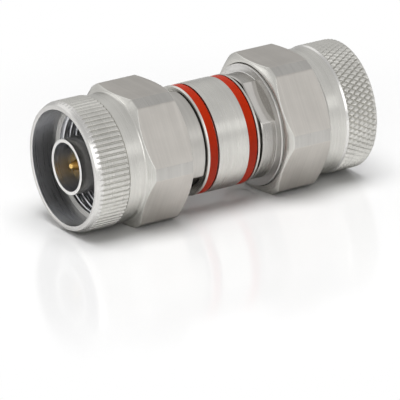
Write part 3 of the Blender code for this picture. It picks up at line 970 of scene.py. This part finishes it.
def noise(nodes, links, place, scale, detail, roughness=0.5):
    """Fine uneven variation, so many grains to the metre."""
    node = nodes.new("ShaderNodeTexNoise")
    node.inputs["Scale"].default_value = scale
    node.inputs["Detail"].default_value = detail
    node.inputs["Roughness"].default_value = roughness
    links.new(place, node.inputs["Vector"])
    return node.outputs["Fac"]


def map_range(nodes, links, value, source, target=(0.0, 1.0), curve="LINEAR"):
    """A value carried from one range to another and held at its ends."""
    node = nodes.new("ShaderNodeMapRange")
    node.interpolation_type = curve
    node.inputs["From Min"].default_value = source[0]
    node.inputs["From Max"].default_value = source[1]
    node.inputs["To Min"].default_value = target[0]
    node.inputs["To Max"].default_value = target[1]
    links.new(value, node.inputs["Value"])
    return node.outputs[0]


def roughen(nodes, links, shader, height, depth):
    """Press a height pattern into the surface, to a depth in millimetres."""
    bump = nodes.new("ShaderNodeBump")
    bump.inputs["Strength"].default_value = 1.0
    bump.inputs["Distance"].default_value = depth * MM
    links.new(height, bump.inputs["Height"])
    links.new(bump.outputs[0], shader.inputs["Normal"])


def mark_place(nodes, links, place, milled):
    """Where a tool mark's pattern is read: it changes along the axis and, if turned, with the radius."""
    split = nodes.new("ShaderNodeSeparateXYZ")
    links.new(place, split.inputs[0])
    marks_at = nodes.new("ShaderNodeCombineXYZ")
    links.new(split.outputs["X"], marks_at.inputs["X"])
    if not milled:
        squared = sum_of_squares(nodes, links, split.outputs["Y"], split.outputs["Z"])
        links.new(node_math(nodes, links, "SQRT", squared), marks_at.inputs["Y"])
    drift = node_math(nodes, links, "MULTIPLY", split.outputs["Z"], LINE_DRIFT)
    links.new(drift, marks_at.inputs["Z"])
    return marks_at.outputs[0]


def steel(name, colour, roughness, line_depth, tone=METAL_TONE, milled=False):
    """Metal with fine lines round the axis, or straight across it where it is milled."""
    mat, nodes, links, shader = new_material(name)
    shader.inputs["Metallic"].default_value = 1.0
    shader.inputs["Anisotropic"].default_value = ANISOTROPY
    shader.inputs["Specular Tint"].default_value = (EDGE_TINT, EDGE_TINT, EDGE_TINT, 1.0)
    place = nodes.new("ShaderNodeTexCoord").outputs["Object"]
    marks_at = mark_place(nodes, links, place, milled)
    line_scale = MILLED_LINES if milled else TURNED_LINES
    lines = noise(nodes, links, marks_at, line_scale, detail=6.0, roughness=0.65)
    patches = noise(nodes, links, place, PATCH_SCALE, detail=5.0)
    streaks = noise(nodes, links, marks_at, STREAK_SCALE, detail=3.0)
    both = node_math(nodes, links, "ADD", patches, streaks)
    mean = node_math(nodes, links, "MULTIPLY", both, 0.5)
    shade = map_range(nodes, links, mean, TONE_RANGE, (1.0 - tone, 1.0 + tone))
    tint = nodes.new("ShaderNodeMix")
    tint.data_type = "RGBA"
    tint.blend_type = "MULTIPLY"
    tint.inputs["Factor"].default_value = 1.0
    tint.inputs[MIX_FIRST].default_value = (*colour, 1.0)
    links.new(shade, tint.inputs[MIX_SECOND])
    links.new(tint.outputs[MIX_RESULT], shader.inputs["Base Color"])
    smoothest = roughness * (1.0 - ROUGHNESS_SPREAD)
    roughest = roughness * (1.0 + ROUGHNESS_SPREAD)
    rough = map_range(nodes, links, lines, NOISE_RANGE, (smoothest, roughest))
    links.new(rough, shader.inputs["Roughness"])
    roughen(nodes, links, shader, lines, line_depth)
    return mat


def coloured(name, colour, roughness, grain_scale, tone, gloss=0.5):
    """Paint, rubber or plastic with a slightly uneven tone and a fine surface grain."""
    mat, nodes, links, shader = new_material(name)
    shader.inputs["Roughness"].default_value = roughness
    shader.inputs["Specular IOR Level"].default_value = gloss
    place = nodes.new("ShaderNodeTexCoord").outputs["Object"]
    grain = noise(nodes, links, place, grain_scale, detail=6.0)
    ramp = nodes.new("ShaderNodeValToRGB")
    for index, factor in enumerate((1 - tone, 1 + tone)):
        stop = ramp.color_ramp.elements[index]
        stop.position = NOISE_RANGE[index]
        stop.color = (*[part * factor for part in colour], 1.0)
    links.new(grain, ramp.inputs["Fac"])
    links.new(ramp.outputs[0], shader.inputs["Base Color"])
    roughen(nodes, links, shader, grain, GRAIN_DEPTH)
    return mat


def place_camera():
    """Put the camera where the photograph was taken from."""
    sin_a, cos_a = math.sin(CAMERA_AZIMUTH), math.cos(CAMERA_AZIMUTH)
    sin_e, cos_e = math.sin(CAMERA_ELEVATION), math.cos(CAMERA_ELEVATION)
    back = Vector((sin_a * cos_e, -cos_a * cos_e, sin_e))
    right = Vector((cos_a, sin_a, 0.0))
    up = back.cross(right)
    across = right * math.cos(CAMERA_ROLL) + up * math.sin(CAMERA_ROLL)
    upward = up * math.cos(CAMERA_ROLL) - right * math.sin(CAMERA_ROLL)
    eye = back * CAMERA_DISTANCE + across * CAMERA_SIDE + upward * CAMERA_RISE
    camera = bpy.data.cameras.new("view")
    camera.sensor_width = SENSOR_WIDTH
    camera.sensor_fit = "HORIZONTAL"
    camera.lens = CAMERA_FOCAL_PIXELS / FRAME_PIXELS * SENSOR_WIDTH
    camera.clip_start = 0.05
    camera.clip_end = 20.0
    stand = bpy.data.objects.new("view", camera)
    bpy.context.scene.collection.objects.link(stand)
    turn = Matrix((across, upward, back)).transposed().to_4x4()
    stand.matrix_world = Matrix.Translation(eye * MM) @ turn
    bpy.context.scene.camera = stand


def softbox(name, azimuth, elevation, size, power, mirrored=True):
    """A rectangular lamp that faces the object; azimuth 0 is the side of -Y, 90 that of +X."""
    lamp = bpy.data.lights.new(name, "AREA")
    lamp.shape = "RECTANGLE"
    lamp.size = size[0]
    lamp.size_y = size[1]
    lamp.energy = power
    stand = bpy.data.objects.new(name, lamp)
    stand.visible_glossy = mirrored
    bpy.context.scene.collection.objects.link(stand)
    turn = math.radians(azimuth)
    rise = math.radians(elevation)
    level = math.cos(rise)
    away = Vector((math.sin(turn) * level, -math.cos(turn) * level, math.sin(rise)))
    stand.location = away * LAMP_DISTANCE
    stand.rotation_euler = away.to_track_quat("Z", "Y").to_euler()


def light_studio():
    """A wide soft light overhead that no mirror image shows, and four lamps for the highlights."""
    softbox("overhead_softbox", azimuth=-20, elevation=82, size=(0.44, 0.44), power=3.9, mirrored=False)
    softbox("key_softbox", azimuth=-30, elevation=26, size=(0.30, 0.42), power=0.55)
    softbox("right_softbox", azimuth=33, elevation=24, size=(0.12, 0.18), power=0.05)
    softbox("left_softbox", azimuth=-129, elevation=18, size=(0.16, 0.22), power=0.13)
    softbox("back_softbox", azimuth=-165, elevation=42, size=(0.42, 0.36), power=0.22)


def seen_rays(nodes, links):
    """1 for rays from the camera and for mirror images and refractions, 0 for the rest."""
    path = nodes.new("ShaderNodeLightPath").outputs
    most = node_math(nodes, links, "MAXIMUM", path["Is Camera Ray"], path["Is Glossy Ray"])
    return node_math(nodes, links, "MAXIMUM", most, path["Is Transmission Ray"])


def white_world():
    """White behind the object and in its mirror images, and a plain level of light from all round."""
    world = bpy.data.worlds.new("studio")
    bpy.context.scene.world = world
    world.use_nodes = True
    nodes = world.node_tree.nodes
    links = world.node_tree.links
    nodes.clear()
    seen = nodes.new("ShaderNodeBackground")
    place = nodes.new("ShaderNodeTexCoord")
    split = nodes.new("ShaderNodeSeparateXYZ")
    links.new(place.outputs["Generated"], split.inputs[0])
    dimmed = map_range(nodes, links, split.outputs["Z"], (CEILING_STARTS, 1.0), (1.0, CEILING_LEVEL))
    links.new(dimmed, seen.inputs["Strength"])
    around = nodes.new("ShaderNodeBackground")
    around.inputs["Color"].default_value = (AMBIENT_LEVEL, AMBIENT_LEVEL, AMBIENT_LEVEL, 1)
    mix = nodes.new("ShaderNodeMixShader")
    out = nodes.new("ShaderNodeOutputWorld")
    links.new(seen_rays(nodes, links), mix.inputs[0])
    links.new(around.outputs[0], mix.inputs[1])
    links.new(seen.outputs[0], mix.inputs[2])
    links.new(mix.outputs[0], out.inputs["Surface"])


def table_white():
    """A pale glossy white, which turns to plain white away from the middle."""
    mat, nodes, links, shader = new_material("table_white")
    shader.inputs["Base Color"].default_value = (*FLOOR_COLOUR, 1)
    shader.inputs["Roughness"].default_value = FLOOR_ROUGHNESS
    place = nodes.new("ShaderNodeTexCoord")
    reach = nodes.new("ShaderNodeVectorMath")
    reach.operation = "LENGTH"
    links.new(place.outputs["Object"], reach.inputs[0])
    fade = map_range(nodes, links, reach.outputs["Value"], FLOOR_FADE, curve="SMOOTHSTEP")
    white = nodes.new("ShaderNodeEmission")
    mix = nodes.new("ShaderNodeMixShader")
    links.new(node_math(nodes, links, "MULTIPLY", fade, seen_rays(nodes, links)), mix.inputs[0])
    links.new(shader.outputs[0], mix.inputs[1])
    links.new(white.outputs[0], mix.inputs[2])
    links.new(mix.outputs[0], nodes["Material Output"].inputs["Surface"])
    return mat


def floor():
    """The table top, as high as the lowest flats of the hexagons."""
    low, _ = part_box("left_coupling_nut")
    bm = bmesh.new()
    bmesh.ops.create_grid(bm, x_segments=1, y_segments=1, size=FLOOR_SIZE)
    mesh = bpy.data.meshes.new("table_top")
    bm.to_mesh(mesh)
    bm.free()
    top = bpy.data.objects.new("table_top", mesh)
    bpy.context.scene.collection.objects.link(top)
    top.location = (0, 0, low.z)
    mesh.materials.append(table_white())


place_camera()
white_world()
light_studio()
floor()
metals = {name: steel(name, **look) for name, look in METALS.items()}
for nut_side in SIDES:
    coupling_nut(nut_side, metals)
left_shell(metals)
right_shell(metals)
sleeve(metals["nut_turned"])
red_bands(coloured("red_enamel", colour=(0.36, 0.018, 0.001), roughness=0.50, grain_scale=900.0,
                   tone=0.08, gloss=0.15))
outer_contacts(metals)
gaskets(coloured("gasket_rubber", colour=(0.018, 0.018, 0.018), roughness=0.65, grain_scale=3000.0,
                 tone=0.3))
centre_contacts(metals["contact_gold"])
support_beads(coloured("bead_plastic", colour=(0.78, 0.76, 0.70), roughness=0.45, grain_scale=1500.0,
                       tone=0.04))
dress_hidden(metals["right_turned"], metals["contact_gold"])
bpy.context.scene.view_settings.view_transform = "Standard"
